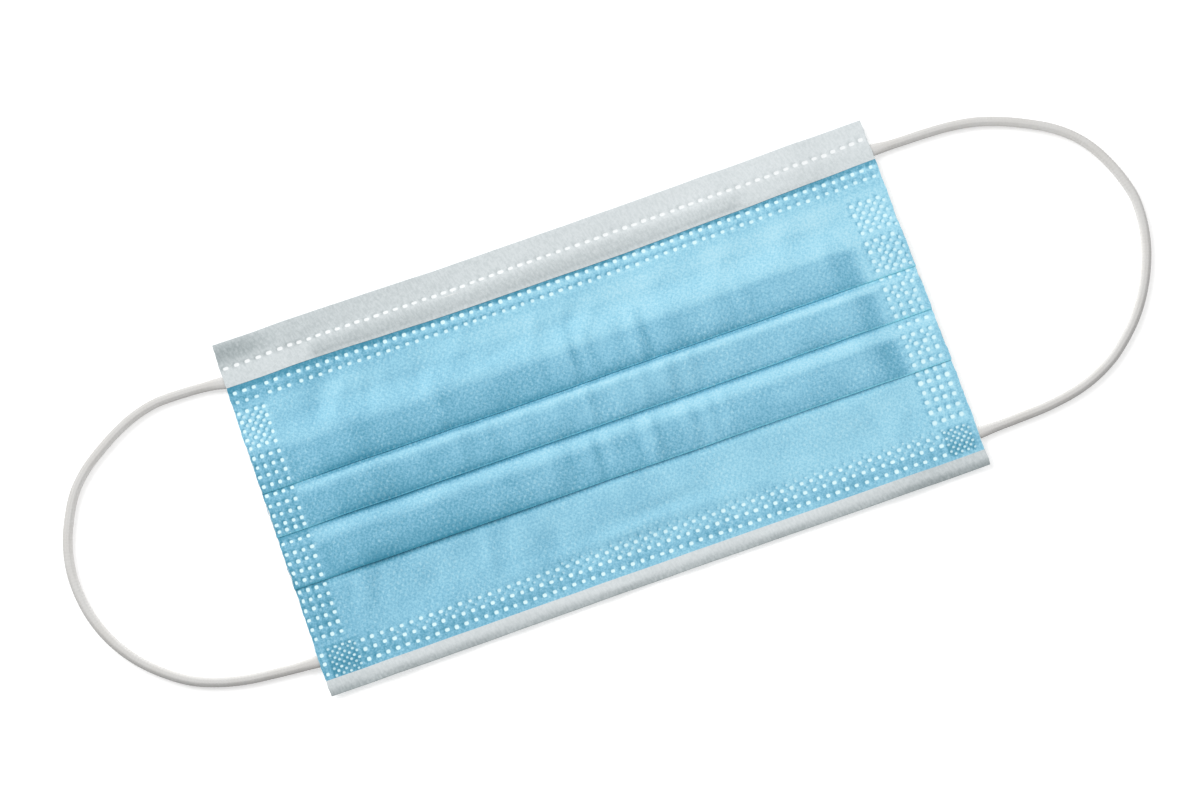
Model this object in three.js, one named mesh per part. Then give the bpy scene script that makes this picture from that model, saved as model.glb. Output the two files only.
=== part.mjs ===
// A flat-folded three-ply face mask with two elastic ear loops, lying on its back.
//
// Millimetres. The origin is at the middle of the mask, on the surface that it lies on.
// +X runs to the mask's right end as its blue front is seen, +Y towards the nose edge, +Z up.
//
// Each ply is one thin wall: its section, in the plane across the pleats, is swept along X
// through a few stations. A section is worked out as a trace, a walk from the nose edge to the
// chin edge that turns back on itself at every pleat. Distances t run down from the nose edge.

import * as THREE from 'three';

// Outline
const WIDTH = 175;
const HEIGHT = 95;
const SIDE = WIDTH / 2;

// Plies, from the back up: inner, filter, outer
const PLY = 0.3;
const PLY_GAP = 0.1;
const PLY_PITCH = PLY + PLY_GAP;
const LAMINATE = 3 * PLY + 2 * PLY_GAP;
const HALF_LAMINATE = LAMINATE / 2;

// Knife pleats: where the free folded edge lies, how far the cloth runs back up behind it,
// and how long the cloth above takes to climb onto those hidden layers
const PLEATS = [
  { fold: 41.2, depth: 10.4, climb: 8.0 },
  { fold: 53.1, depth: 9.5, climb: 4.8 },
  { fold: 66.9, depth: 10.2, climb: 5.4 },
];

// Bands: the inner ply wraps over both long edges onto the front
const CHIN_BAND = 4.0;
const TUCK = 1.5;

// Nose wire, in the channel under the nose band, and how the band slopes down beside it
const WIRE = { left: -63.6, right: 50.1, near: 7.5, width: 2.5, thick: 0.5 };
const WIRE_SLOPE = 1.0;
const BAND_LIP = 0.5;

// Stations along X: how far the back lies above the surface, the slack between the layers of
// a pleat, how far the nose edge and the folds bow down, the width of the nose band, and
// whether the band rides over the nose wire
const STATIONS = [
  { x: -SIDE, lift: 1.7, slack: 0.20, bow: 0.0, band: 12.3, ridge: 0 },
  { x: -79.0, lift: 1.3, slack: 0.20, bow: 0.0, band: 12.3, ridge: 0 },
  { x: -67.5, lift: 0.5, slack: 0.28, bow: 0.1, band: 12.3, ridge: 0 },
  { x: -64.0, lift: 0.3, slack: 0.30, bow: 0.1, band: 12.3, ridge: 1 },
  { x: -34.0, lift: 0.0, slack: 0.45, bow: 0.7, band: 12.3, ridge: 1 },
  { x: 0.0, lift: 0.0, slack: 0.40, bow: 0.9, band: 12.2, ridge: 1 },
  { x: 28.0, lift: 0.0, slack: 0.45, bow: 0.6, band: 12.2, ridge: 1 },
  { x: 50.5, lift: 0.0, slack: 0.40, bow: 0.2, band: 12.2, ridge: 1 },
  { x: 54.0, lift: 0.1, slack: 0.35, bow: 0.1, band: 12.1, ridge: 0 },
  { x: 68.0, lift: 0.6, slack: 0.28, bow: 0.0, band: 11.9, ridge: 0 },
  { x: 79.0, lift: 1.3, slack: 0.20, bow: 0.0, band: 11.6, ridge: 0 },
  { x: SIDE, lift: 1.7, slack: 0.20, bow: 0.0, band: 11.4, ridge: 0 },
];

// Ear loops: round elastic, pressed flat where it is welded under the mask's corners
const CORD = 2.5;
const CORD_SIDES = 8;
const CORD_STEPS = 76;
const WELD_FLAT = 0.4;
const WELD_WIDEN = 1.35;
const WELD_INNER = 85.0;
const WELD_OUTER = 94.0;

const LEFT_LOOP = [
  [-79.5, 35.6], [-84.0, 36.3], [-88.5, 37.0], [-93.5, 37.8], [-99.3, 38.2], [-105.4, 37.9],
  [-111.1, 36.5], [-116.6, 34.3], [-122.0, 31.3], [-127.0, 27.5], [-131.2, 23.0], [-134.6, 17.3],
  [-136.9, 10.7], [-138.1, 4.1], [-138.0, -1.8], [-136.7, -8.2], [-134.0, -14.8], [-129.8, -21.5],
  [-124.6, -27.3], [-118.8, -31.8], [-112.4, -34.9], [-105.8, -36.5], [-99.5, -37.2],
  [-93.5, -37.5], [-87.9, -37.8], [-84.0, -38.2], [-79.5, -38.8],
];

const RIGHT_LOOP = [
  [79.5, 39.6], [84.0, 39.1], [88.4, 38.8], [94.5, 38.6], [101.3, 38.5], [108.3, 38.1],
  [115.2, 36.9], [121.7, 34.9], [127.4, 32.2], [132.5, 29.0], [137.0, 25.1], [140.7, 20.9],
  [143.6, 15.9], [145.5, 10.6], [146.4, 4.9], [146.1, -1.4], [144.7, -7.8], [142.3, -13.6],
  [139.3, -18.6], [136.0, -23.2], [132.2, -27.4], [125.4, -33.0], [117.0, -37.0], [107.2, -38.8],
  [97.5, -39.3], [88.8, -39.2], [84.0, -39.1], [79.5, -39.0],
];

// Steps that round the section: a half turn at a fold, a half turn round an edge, a slope
const FOLD_STEPS = 5;
const EDGE_STEPS = 4;
const SLOPE_STEPS = 5;

const LEFT = 1;
const RIGHT = -1;
const DOWN_THE_MASK = 0;
const UP_THE_MASK = Math.PI;

// A walk through the section: points with t, z and the heading there
class Trace {
  constructor(t, z, heading) {
    this.points = [{ t, z, heading }];
  }

  get tip() {
    return this.points.at(-1);
  }

  runTo(t) {
    this.points.push({ ...this.tip, t });
    return this;
  }

  // Half a turn, to the left or to the right
  turnBack(radius, side, steps) {
    const from = this.tip;
    const centreT = from.t - side * radius * Math.sin(from.heading);
    const centreZ = from.z + side * radius * Math.cos(from.heading);
    for (let i = 1; i <= steps; i += 1) {
      const heading = from.heading + (side * Math.PI * i) / steps;
      const t = centreT + side * radius * Math.sin(heading);
      const z = centreZ - side * radius * Math.cos(heading);
      this.points.push({ t, z, heading });
    }
    return this;
  }

  // A smooth slope of the given length that ends higher or lower by rise
  slope(length, rise, steps) {
    const from = this.tip;
    const way = Math.sign(Math.cos(from.heading));
    for (let i = 1; i <= steps; i += 1) {
      const u = i / steps;
      const t = from.t + way * length * u;
      const z = from.z + (rise * (1 - Math.cos(Math.PI * u))) / 2;
      const steepness = (rise * Math.PI * Math.sin(Math.PI * u)) / (2 * length);
      this.points.push({ t, z, heading: from.heading + way * Math.atan(steepness) });
    }
    return this;
  }

  // The same walk, moved sideways to its left
  beside(distance) {
    return this.points.map(({ t, z, heading }) => ({
      t: t - distance * Math.sin(heading),
      z: z + distance * Math.cos(heading),
      heading,
    }));
  }
}

// The middle of the laminate, from one distance down the mask to another
function laminateTrace(from, to, station) {
  const layer = LAMINATE + station.slack;
  const turn = layer / 2;
  const nose = turn + HALF_LAMINATE;
  const trace = new Trace(from, HALF_LAMINATE, DOWN_THE_MASK);
  for (const { fold, depth, climb } of PLEATS) {
    const hidden = fold - depth + nose;
    trace.runTo(hidden - climb);
    trace.slope(climb, 2 * layer, SLOPE_STEPS);
    trace.runTo(fold - nose);
    trace.turnBack(turn, RIGHT, FOLD_STEPS);
    trace.runTo(hidden);
    trace.turnBack(turn, LEFT, FOLD_STEPS);
  }
  return trace.runTo(to);
}

// The closed outline of a wall of one ply's thickness along a walk
function wallOutline(points) {
  const side = (distance) => points.map(({ t, z, heading }) => new THREE.Vector2(
    t - distance * Math.sin(heading),
    z + distance * Math.cos(heading),
  ));
  return [...side(PLY / 2), ...side(-PLY / 2).reverse()];
}

function tuckedSection(aboveMiddle) {
  return (station) => {
    const trace = laminateTrace(TUCK, HEIGHT - TUCK, station);
    return wallOutline(trace.beside(aboveMiddle));
  };
}

// The inner ply comes in over the nose edge, follows the laminate and goes out over the chin
function innerSection(station) {
  const backLevel = HALF_LAMINATE - PLY_PITCH;
  const bandLevel = backLevel + 3 * PLY_PITCH;
  const turn = (bandLevel - backLevel) / 2;
  const inset = turn + PLY / 2;
  const ridge = station.ridge * (WIRE.thick + PLY_GAP);
  const ridgeFar = WIRE.near + WIRE.width + PLY_GAP;
  const lip = station.band - BAND_LIP;

  const noseBand = new Trace(station.band, bandLevel, UP_THE_MASK)
    .runTo(lip)
    .slope(lip - ridgeFar, ridge, SLOPE_STEPS)
    .runTo(WIRE.near - PLY_GAP)
    .slope(WIRE_SLOPE, -ridge, SLOPE_STEPS)
    .runTo(inset)
    .turnBack(turn, LEFT, EDGE_STEPS);
  noseBand.points.pop();

  const back = laminateTrace(inset, HEIGHT - inset, station).beside(-PLY_PITCH);
  const chinBand = new Trace(HEIGHT - inset, backLevel, DOWN_THE_MASK)
    .turnBack(turn, LEFT, EDGE_STEPS)
    .runTo(HEIGHT - CHIN_BAND);
  chinBand.points.shift();

  return wallOutline([...noseBand.points, ...back, ...chinBand.points]);
}

function wireSection() {
  const top = HALF_LAMINATE + PLY_PITCH + PLY / 2 + PLY_GAP + WIRE.thick;
  const radius = WIRE.thick / 2;
  return new Trace(WIRE.near + radius, top, DOWN_THE_MASK)
    .runTo(WIRE.near + WIRE.width - radius)
    .turnBack(radius, RIGHT, EDGE_STEPS)
    .runTo(WIRE.near + radius)
    .turnBack(radius, RIGHT, EDGE_STEPS)
    .points.slice(0, -1)
    .map(({ t, z }) => new THREE.Vector2(t, z));
}

function stationAt(x) {
  const after = STATIONS.findIndex((station) => station.x >= x);
  if (STATIONS[after].x === x) {
    return STATIONS[after];
  }
  const [a, b] = [STATIONS[after - 1], STATIONS[after]];
  const u = (x - a.x) / (b.x - a.x);
  const mixed = Object.keys(a).map((key) => [key, a[key] + u * (b[key] - a[key])]);
  return Object.fromEntries(mixed);
}

// A closed solid through the same outline at every station. An outline's first half and its
// second half run along the two faces of a wall, so the end caps join them across.
function sweep(stations, sectionAt) {
  const outlines = stations.map((station) => sectionAt(station));
  const count = outlines[0].length;
  const positions = [];
  const faces = [];
  stations.forEach(({ x, lift, bow }, s) => {
    for (const point of outlines[s]) {
      const t = point.x;
      const dip = bow * (1 - (t / HEIGHT) ** 3);
      positions.push(x, HEIGHT / 2 - t - dip, point.y + lift);
    }
  });
  const quad = (a, b, c, d) => faces.push(a, b, c, a, c, d);
  for (let s = 0; s < stations.length - 1; s += 1) {
    for (let i = 0; i < count; i += 1) {
      const a = s * count + i;
      const b = s * count + ((i + 1) % count);
      quad(a, b, b + count, a + count);
    }
  }
  const lastOutline = (stations.length - 1) * count;
  for (let i = 0; i < count / 2 - 1; i += 1) {
    const corners = [i, i + 1, count - 2 - i, count - 1 - i];
    quad(...corners.toReversed());
    quad(...corners.map((corner) => lastOutline + corner));
  }
  const geometry = new THREE.BufferGeometry();
  geometry.setAttribute('position', new THREE.Float32BufferAttribute(positions, 3));
  geometry.setIndex(faces);
  geometry.computeVertexNormals();
  return geometry;
}

// Round elastic along a route on the surface, pressed flat near both ends
function loopGeometry(route) {
  const section = new THREE.Shape();
  section.absarc(0, 0, CORD / 2, 0, 2 * Math.PI, false);
  const path = new THREE.CatmullRomCurve3(
    route.map(([x, y]) => new THREE.Vector3(x, y, CORD / 2)),
    false,
    'centripetal',
  );
  const geometry = new THREE.ExtrudeGeometry(section, {
    steps: CORD_STEPS,
    curveSegments: CORD_SIDES / 2,
    extrudePath: path,
  });
  const axisAt = (x, upper) => {
    const end = upper ? route.slice(0, 4) : route.slice(-4);
    const sorted = end.toSorted((p, q) => p[0] - q[0]);
    const after = Math.max(1, sorted.findIndex(([px]) => px >= x));
    const [a, b] = [sorted[after - 1], sorted[after]];
    return a[1] + ((b[1] - a[1]) * (x - a[0])) / (b[0] - a[0]);
  };
  const position = geometry.getAttribute('position');
  for (let i = 0; i < position.count; i += 1) {
    const [x, y, z] = [position.getX(i), position.getY(i), position.getZ(i)];
    const press = 1 - THREE.MathUtils.smoothstep(Math.abs(x), WELD_INNER, WELD_OUTER);
    if (press > 0) {
      const axis = axisAt(x, y > 0);
      position.setY(i, axis + (y - axis) * (1 + press * (WELD_WIDEN - 1)));
      position.setZ(i, z * (1 - press * (1 - WELD_FLAT)));
    }
  }
  return geometry;
}

const cloth = (color) => new THREE.MeshStandardMaterial({ color, roughness: 0.85, metalness: 0 });

function part(name, geometry, material) {
  const mesh = new THREE.Mesh(geometry, material);
  mesh.name = name;
  return mesh;
}

const wireStations = [
  stationAt(WIRE.left),
  ...STATIONS.filter(({ x }) => x > WIRE.left && x < WIRE.right),
  stationAt(WIRE.right),
];

const mask = new THREE.Group();
mask.add(part('outer_ply', sweep(STATIONS, tuckedSection(PLY_PITCH)), cloth(0x86cbe6)));
mask.add(part('filter_ply', sweep(STATIONS, tuckedSection(0)), cloth(0xf3f4f2)));
mask.add(part('inner_ply', sweep(STATIONS, innerSection), cloth(0xe6ebeb)));
mask.add(part('nose_wire', sweep(wireStations, wireSection), cloth(0xdde0e0)));
mask.add(part('ear_loop_left', loopGeometry(LEFT_LOOP), cloth(0xf0efec)));
mask.add(part('ear_loop_right', loopGeometry(RIGHT_LOOP), cloth(0xf0efec)));

export default mask;
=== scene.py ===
import math

import bpy
import numpy as np
from mathutils import Matrix, Vector
from mathutils.geometry import delaunay_2d_cdt


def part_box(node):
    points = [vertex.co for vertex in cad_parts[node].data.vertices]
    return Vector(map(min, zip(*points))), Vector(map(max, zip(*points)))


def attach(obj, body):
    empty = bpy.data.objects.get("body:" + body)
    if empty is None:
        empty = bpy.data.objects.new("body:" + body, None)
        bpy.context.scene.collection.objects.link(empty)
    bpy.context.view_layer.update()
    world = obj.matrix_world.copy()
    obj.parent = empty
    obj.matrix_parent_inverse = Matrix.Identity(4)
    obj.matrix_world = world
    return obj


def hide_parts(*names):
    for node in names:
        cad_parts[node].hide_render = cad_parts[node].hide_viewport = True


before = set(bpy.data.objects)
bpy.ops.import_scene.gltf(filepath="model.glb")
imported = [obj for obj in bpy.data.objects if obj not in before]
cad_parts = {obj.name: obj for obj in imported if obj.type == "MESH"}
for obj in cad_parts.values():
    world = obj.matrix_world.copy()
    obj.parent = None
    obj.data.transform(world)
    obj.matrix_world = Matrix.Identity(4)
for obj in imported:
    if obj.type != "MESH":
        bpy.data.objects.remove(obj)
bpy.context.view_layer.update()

# A flat-folded three-ply face mask, lying on its back on a pale floor.
#
# The cloth is worked out in millimetres and turned into metres as its meshes are made.
# A cloth point has x along the mask and v, the distance walked over the folded cloth from the
# nose edge. t is how far down from the nose edge a point ends up, z how high.

MM = 0.001

# ---- The camera and the loops' routes, in metres ----

CAMERA_TARGET = Vector((0.0007, 0.0014, 0.0))
CAMERA_DISTANCE = 1.006
CAMERA_AZIMUTH = math.radians(-12.76)
CAMERA_ELEVATION = math.radians(78.44)
CAMERA_UP = Vector((0.3302, 0.9227, 0.1992))
CAMERA_LENS = 119.4
SENSOR = 36.0

LEFT_ROUTE = [
    (-0.0795, 0.0356), (-0.0840, 0.0363), (-0.0884, 0.0375), (-0.0935, 0.0381), (-0.0993, 0.0384),
    (-0.1055, 0.0383), (-0.1113, 0.0370), (-0.1168, 0.0347), (-0.1222, 0.0316), (-0.1274, 0.0280),
    (-0.1318, 0.0235), (-0.1352, 0.0176), (-0.1378, 0.0110), (-0.1390, 0.0042), (-0.1389, -0.0019),
    (-0.1377, -0.0085), (-0.1350, -0.0154), (-0.1306, -0.0221), (-0.1250, -0.0277), (-0.1189, -0.0320),
    (-0.1123, -0.0347), (-0.1058, -0.0363), (-0.0995, -0.0371), (-0.0935, -0.0377), (-0.0879, -0.0380),
    (-0.0840, -0.0383), (-0.0795, -0.0388),
]

RIGHT_ROUTE = [
    (0.0795, 0.0396), (0.0840, 0.0392), (0.0884, 0.0390), (0.0945, 0.0388), (0.1013, 0.0387),
    (0.1083, 0.0383), (0.1153, 0.0371), (0.1217, 0.0349), (0.1274, 0.0322), (0.1327, 0.0291),
    (0.1372, 0.0253), (0.1406, 0.0209), (0.1432, 0.0157), (0.1450, 0.0105), (0.1461, 0.0049),
    (0.1458, -0.0014), (0.1444, -0.0077), (0.1421, -0.0135), (0.1393, -0.0186), (0.1360, -0.0232),
    (0.1320, -0.0274), (0.1252, -0.0327), (0.1168, -0.0364), (0.1072, -0.0382), (0.0975, -0.0387),
    (0.0888, -0.0389), (0.0840, -0.0390), (0.0795, -0.0390),
]

# ---- The mask's sizes, in millimetres ----

LOW, HIGH = (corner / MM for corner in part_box("inner_ply"))
WIRE_LOW, WIRE_HIGH = (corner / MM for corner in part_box("nose_wire"))
HEIGHT = HIGH.y - LOW.y
SIDE = HIGH.x

# The loops' diameter
CORD = 2.5
# A ply's thickness, the gap between two plies, and half of the stack of three
PLY = 0.11
PLY_GAP = 0.015
PITCH = PLY + PLY_GAP
HALF = (3 * PLY + 2 * PLY_GAP) / 2

# Knife pleats: the free folded edge, how far the cloth runs back up behind it, how long the
# cloth takes to climb onto those layers, how much its loose middle puffs up, and the stretch
# along x where its end is pressed down beside the weld. Then its colours, all painted shade and
# light, the first three at each of FOLD_X: how deep the painted shade is above the fold, on the
# fold itself and in the fold's painted shadow below it, how bright the painted light is past that
# shadow, and how deep the painted shade on the pressed stretch is. Last, the soft creases across
# its puffed panel: x, half width and height
FOLD_X = [-78, -42, 0, 40, 64]
PLEATS = [
    {"fold": 40.9, "depth": 10.2, "climb": 8, "puff": 0.55, "press": (68.3, 72.8),
     "shade": (1.35, 1.15, 0.95, 0.8, 0.65), "nose": (1.15, 1, 0.75, 0.4, 0.3),
     "under": (1.95, 1.95, 1.95, 1.85, 1.7), "glow": 0.22, "pressed": 0.22,
     "creases": [
         (-61, 4, 0.22), (-38.5, 2.4, 0.30), (-17, 5, -0.15), (-8.5, 2.2, -0.28), (-3, 1.3, 0.46),
         (1.8, 1.3, 0.26), (8.6, 2.6, 0.28), (15.3, 2, 0.50), (17.8, 1.5, -0.26), (23.5, 3, 0.34),
         (36, 3.2, 0.24), (43.5, 2, 0.24), (52, 3.4, 0.18),
     ]},
    {"fold": 52.7, "depth": 9.3, "climb": 3.8, "puff": 0.50, "press": (70.6, 74.4),
     "shade": (1.35, 1.05, 0.7, 0.55, 0.65), "nose": (0.65, 0.45, 0.25, 0.05, 0),
     "under": (1.8, 1.65, 1.5, 1.6, 1.55), "glow": 0.12, "pressed": 0.45,
     "creases": [
         (-58.5, 3.4, 0.30), (-36.2, 2.2, 0.30), (-29, 1.7, 0.24), (-19.5, 2.6, 0.24), (-10.5, 2, 0.18),
         (-2.2, 1.2, 0.46), (6, 2.2, 0.20), (12, 1.6, 0.28), (18.7, 2.1, 0.48), (24.8, 1.9, 0.34),
         (38, 4, 0.15), (55, 4, 0.12),
     ]},
    {"fold": 66.7, "depth": 10.1, "climb": 4.8, "puff": 0.58, "press": (71, 75.8),
     "shade": (2.3, 2.05, 0.8, 0.6, 0.85), "nose": (2.2, 1.8, 0.4, -0.1, -0.2),
     "under": (1.95, 1.75, 1.3, 1, 1), "glow": 0, "pressed": 0.65,
     "creases": [
         (-63, 5, 0.20), (-30, 4, 0.16), (-16, 2.4, 0.24), (-10.3, 1.8, -0.26), (-5.7, 1.1, 0.44),
         (-0.2, 1.6, 0.30), (6.9, 1.5, -0.36), (10.4, 1.5, 0.52), (20.2, 1.8, 0.40), (25.4, 1.3, 0.34),
         (30, 1.6, 0.28), (44, 3, 0.16),
     ]},
]
# Where each pleat's hidden layers begin
for pleat in PLEATS:
    pleat["begin"] = pleat["fold"] - pleat["depth"]
# The creases' heights are all multiplied by this
CREASE_RISE = 1.45
# Air between a pleat's layers in the welds, what is added to it between them, and how far a
# pleat's end is pressed down
TIGHT_SLACK = 0.04
LOOSE_SLACK = 0.06
PRESS = 0.35

# How far the loops' ends lift the mask's ends, and from where
LIFT = 1.4
LIFT_START = 36
# How far the middle strays down from a straight line, at the nose edge and at the chin edge
NOSE_BOW = 0.5
CHIN_BOW = -0.25
BOW_SPAN = 150

# The white bands, how far the nose band narrows from TAPER_START to the right end, how far its
# cut edge wanders down the mask as (x, t), how far in the other plies end below the bands, and
# the flat lip along the nose band's cut edge
NOSE_BAND = 12.3
NOSE_BAND_TAPER = 0.9
TAPER_START = 50
NOSE_BAND_STRAY = [
    (-80, -0.3), (-64, -0.42), (-47, -0.1), (-27, 0.08), (10, 0.08), (32, -0.16), (52, -0.4),
    (75, -0.3),
]
CHIN_BAND = 4
TUCK = 1.5
BAND_LIP = 0.5
# The nose wire: t of its near edge, its width and thickness, and the length of the band's slope
# from it towards the nose edge
WIRE_NEAR = 7.5
WIRE_WIDTH = 2.5
WIRE_THICK = 0.36
WIRE_SLOPE = 1.9

# Over these stretches of x the cloth comes free of the weld columns
FREE_LEFT = (-79.2, -68)
FREE_RIGHT = (66, 77)
# How thick the welded layers are beside the free ones
WELDED = 0.55

# The folded cloth is springy: it stands a little off the floor between its edges
AIR = 0.65
AIR_NOSE = 12
AIR_CHIN = 2.6
# Size, wave length over 2 pi and phase of the waves in how far the chin's slope reaches
CHIN_WAVES = [(0.22, 7.3, 0), (0.16, 3.1, 1)]
# It swells below the last pleat
SWELL = {"start": 64.5, "full": 69, "end": 88, "height": 0.35}

# Broad dents and swellings elsewhere: x, t, half length, half width, lean from the x axis in
# degrees, height, which are all multiplied by the rise
DENT_RISE = 1.5
DENTS = [
    (-66.5, 23, 5.5, 2.4, 62, -0.34), (-61, 24, 5, 2, 62, 0.28), (-53, 24, 5, 2, 66, -0.22),
    (-40, 25, 5, 2.4, 60, -0.26), (-30, 22.5, 5.5, 2.6, 55, 0.24), (-20.5, 26.4, 4.5, 1.6, 8, -0.24),
    (-9, 23, 4.5, 2, 70, 0.26), (1, 23.4, 2.4, 1.8, 60, -0.30), (5, 25.5, 4, 1.8, 52, 0.24),
    (22, 24, 6, 3, 58, 0.20), (41, 24, 6, 3, 60, 0.22), (58, 24, 6, 3, 64, 0.20),
    (-74.3, 72.5, 4.5, 1.6, 84, -0.28), (-71, 73, 5, 1.8, 84, 0.24), (-66.5, 71, 4.5, 1.6, 80, -0.22),
    (-53.5, 75, 6.5, 3, 70, -0.26), (-38.2, 73, 6.5, 1.6, 84, 0.30), (-33.5, 73, 6.5, 2.6, 76, -0.24),
    (-21.5, 76, 4.5, 3, 66, -0.26), (5, 77.2, 12, 1.6, 2, -0.26), (0, 80.6, 30, 1.5, 1, 0.24),
    (60, 72, 7, 1.8, -62, 0.34), (73, 77.8, 2.6, 1.8, 80, -0.28), (-5, 3.2, 3.5, 1.4, -42, 0.16),
    (47, 3, 3, 1.4, -50, 0.14), (71.8, 8.4, 2.4, 0.8, 66, 0.22), (76.2, 8.2, 2.6, 0.9, 68, 0.24),
    (-62, 2.8, 5, 1.4, 20, 0.12), (-30, 3.4, 6, 1.5, 14, 0.12),
]

# Faint seeded waves over all of the cloth, with wave lengths in a range
WRINKLE_SEED = 11
WRINKLE_MODES = 30
WRINKLE_WAVES = (9, 44)
WRINKLE_HEIGHT = 0.17
# Their share where the cloth is welded, and the grid on which their lowest place is looked for
WRINKLE_WELDED = 0.35
WRINKLE_GRID = (180, 100)

# How far a ply's cut side edge strays, how wide the strip is that strays with it, the lengths
# and the range of sizes of the waves in it, their usual sum, and how far the waves of the right
# edge are ahead of the left one's
RAGGED = 0.22
RAGGED_EDGE = 2.5
RAGGED_WAVES = (31, 12, 5.3, 2.4)
RAGGED_SIZES = (0.3, 1)
RAGGED_SUM = 2.6
RAGGED_SHIFT = 2.1


def ramp(value, low, high):
    """A smooth step from 0 at low to 1 at high."""
    u = np.clip((value - low) / (high - low), 0, 1)
    return u * u * (3 - 2 * u)


def window(value, low, high, soft):
    """1 between low and high, with soft edges."""
    return ramp(value, low - soft, low + soft) * (1 - ramp(value, high - soft, high + soft))


def bump(value, centre, half_width):
    return np.exp(-(((value - centre) / half_width) ** 2))


def read(table, value):
    """The number that a table of (value, number) pairs gives for a value."""
    return np.interp(value, *zip(*table))


def freedom(x):
    """1 where the cloth is loose, 0 where its layers are welded together."""
    return ramp(x, *FREE_LEFT) * (1 - ramp(x, *FREE_RIGHT))


def lift(x):
    """The ends of the mask lie on the welded ends of the loops."""
    return LIFT * np.clip((np.abs(x) - LIFT_START) / (SIDE - LIFT_START), 0, 1) ** 2


def bow(x, t):
    """How far the middle of the mask strays down from a straight line between its ends."""
    middle = np.cos(np.pi * np.clip(x / BOW_SPAN, -0.5, 0.5)) ** 2
    return middle * (NOSE_BOW + (CHIN_BOW - NOSE_BOW) * t / HEIGHT)


def layer(x):
    """From one layer of a pleat to the next."""
    return 2 * HALF + TIGHT_SLACK + LOOSE_SLACK * freedom(x)


def nose_band(x):
    """t of the nose band's cut edge."""
    return NOSE_BAND - NOSE_BAND_TAPER * ramp(x, TAPER_START, SIDE) + read(NOSE_BAND_STRAY, x)


class Wrinkles:
    """A seeded sum of soft waves over the mask, never below zero."""

    def __init__(self, seed, count, waves, height):
        draw = np.random.default_rng(seed)
        length = np.exp(draw.uniform(*np.log(waves), count))
        angle = draw.uniform(-1, 1, count) * math.pi
        self.phase = draw.uniform(0, 2 * math.pi, count)
        self.kx = 2 * math.pi * np.cos(angle) / length
        self.kt = 2 * math.pi * np.sin(angle) / length
        size = length / length.max()
        self.size = height * size / math.sqrt(np.sum(size**2) / 2)
        columns, rows = WRINKLE_GRID
        grid = np.meshgrid(np.linspace(-SIDE, SIDE, columns), np.linspace(0, HEIGHT, rows))
        self.floor = self.waves(*grid).min()

    def waves(self, x, t):
        total = np.zeros(np.shape(x))
        for kx, kt, phase, size in zip(self.kx, self.kt, self.phase, self.size):
            total += size * np.cos(kx * x + kt * t + phase)
        for centre, down, length, width, lean, height in DENTS:
            c, s = math.cos(math.radians(lean)), math.sin(math.radians(lean))
            along = (x - centre) * c - (t - down) * s
            across = (x - centre) * s + (t - down) * c
            total += DENT_RISE * height * bump(along, 0, length) * bump(across, 0, width)
        return total

    def __call__(self, x, t):
        calm = WRINKLE_WELDED + (1 - WRINKLE_WELDED) * freedom(x)
        return np.maximum(0, (self.waves(x, t) - self.floor) * calm)


WRINKLES = Wrinkles(WRINKLE_SEED, WRINKLE_MODES, WRINKLE_WAVES, WRINKLE_HEIGHT)


def level(x, t):
    """How high the whole stack of cloth stands at (x, t)."""
    waves = sum(size * np.sin(x / length + phase) for size, length, phase in CHIN_WAVES)
    chin = AIR_CHIN * (1 + waves)
    air = AIR * ramp(t, 0, AIR_NOSE) * ramp(HEIGHT - t, 0, chin)
    swell = ramp(t, SWELL["start"], SWELL["full"]) * (1 - ramp(t, SWELL["full"], SWELL["end"]))
    return lift(x) + WRINKLES(x, t) + air + SWELL["height"] * freedom(x) * swell


def puff(x, pleat):
    """How far a pleat's front stands off its hidden layers."""
    height = np.full(np.shape(x), pleat["puff"])
    for centre, half_width, rise in pleat["creases"]:
        height = height + CREASE_RISE * rise * bump(x, centre, half_width)
    return (height - PRESS * window(x, *pleat["press"], 0.7)) * freedom(x)


# ---- Walks: paths through the section ----
# Each step says where the walk stands at a share u of it, given where the step began: t, z
# and the heading, 0 down the mask and pi up the mask. Sizes are numbers or functions of x.

UP_THE_MASK = math.pi
LEFT_TURN = 1
RIGHT_TURN = -1


def at(size, x):
    return size(x) if callable(size) else size + 0 * x


def run(to):
    def stand(u, x, t, z, heading):
        return t + u * (at(to, x) - t), z + 0 * x, heading + 0 * x

    return stand


def slope(length, rise):
    def stand(u, x, t, z, heading):
        way = np.sign(np.cos(heading))
        steep = rise(x) * np.pi * np.sin(np.pi * u) / (2 * at(length, x))
        height = rise(x) * (1 - np.cos(np.pi * u)) / 2
        return t + way * at(length, x) * u, z + height, heading + way * np.arctan(steep)

    return stand


ARCH_FLAT = 0.3
ARCH_STEEP = 0.7


def arch(u):
    """How far an arch has come down at a share u of its length, and how steeply it falls."""
    return ARCH_FLAT * u**2 + ARCH_STEEP * u**4, 2 * ARCH_FLAT * u + 4 * ARCH_STEEP * u**3


def arc_down(to, drop):
    """A soft arch down to a fold."""

    def stand(u, x, t, z, heading):
        length = to(x) - t
        down, fall = arch(u)
        return t + u * length, z - drop(x) * down, heading - np.arctan(drop(x) * fall / length)

    return stand


def turn(radius, side, end_heading):
    def stand(u, x, t, z, heading):
        now = heading + u * (end_heading - heading)
        r = radius(x, heading)
        along = side * r * (np.sin(now) - np.sin(heading))
        up = -side * r * (np.cos(now) - np.cos(heading))
        return t + along, z + up, now + 0 * x

    return stand


STEP_SAMPLES = 25


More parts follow.
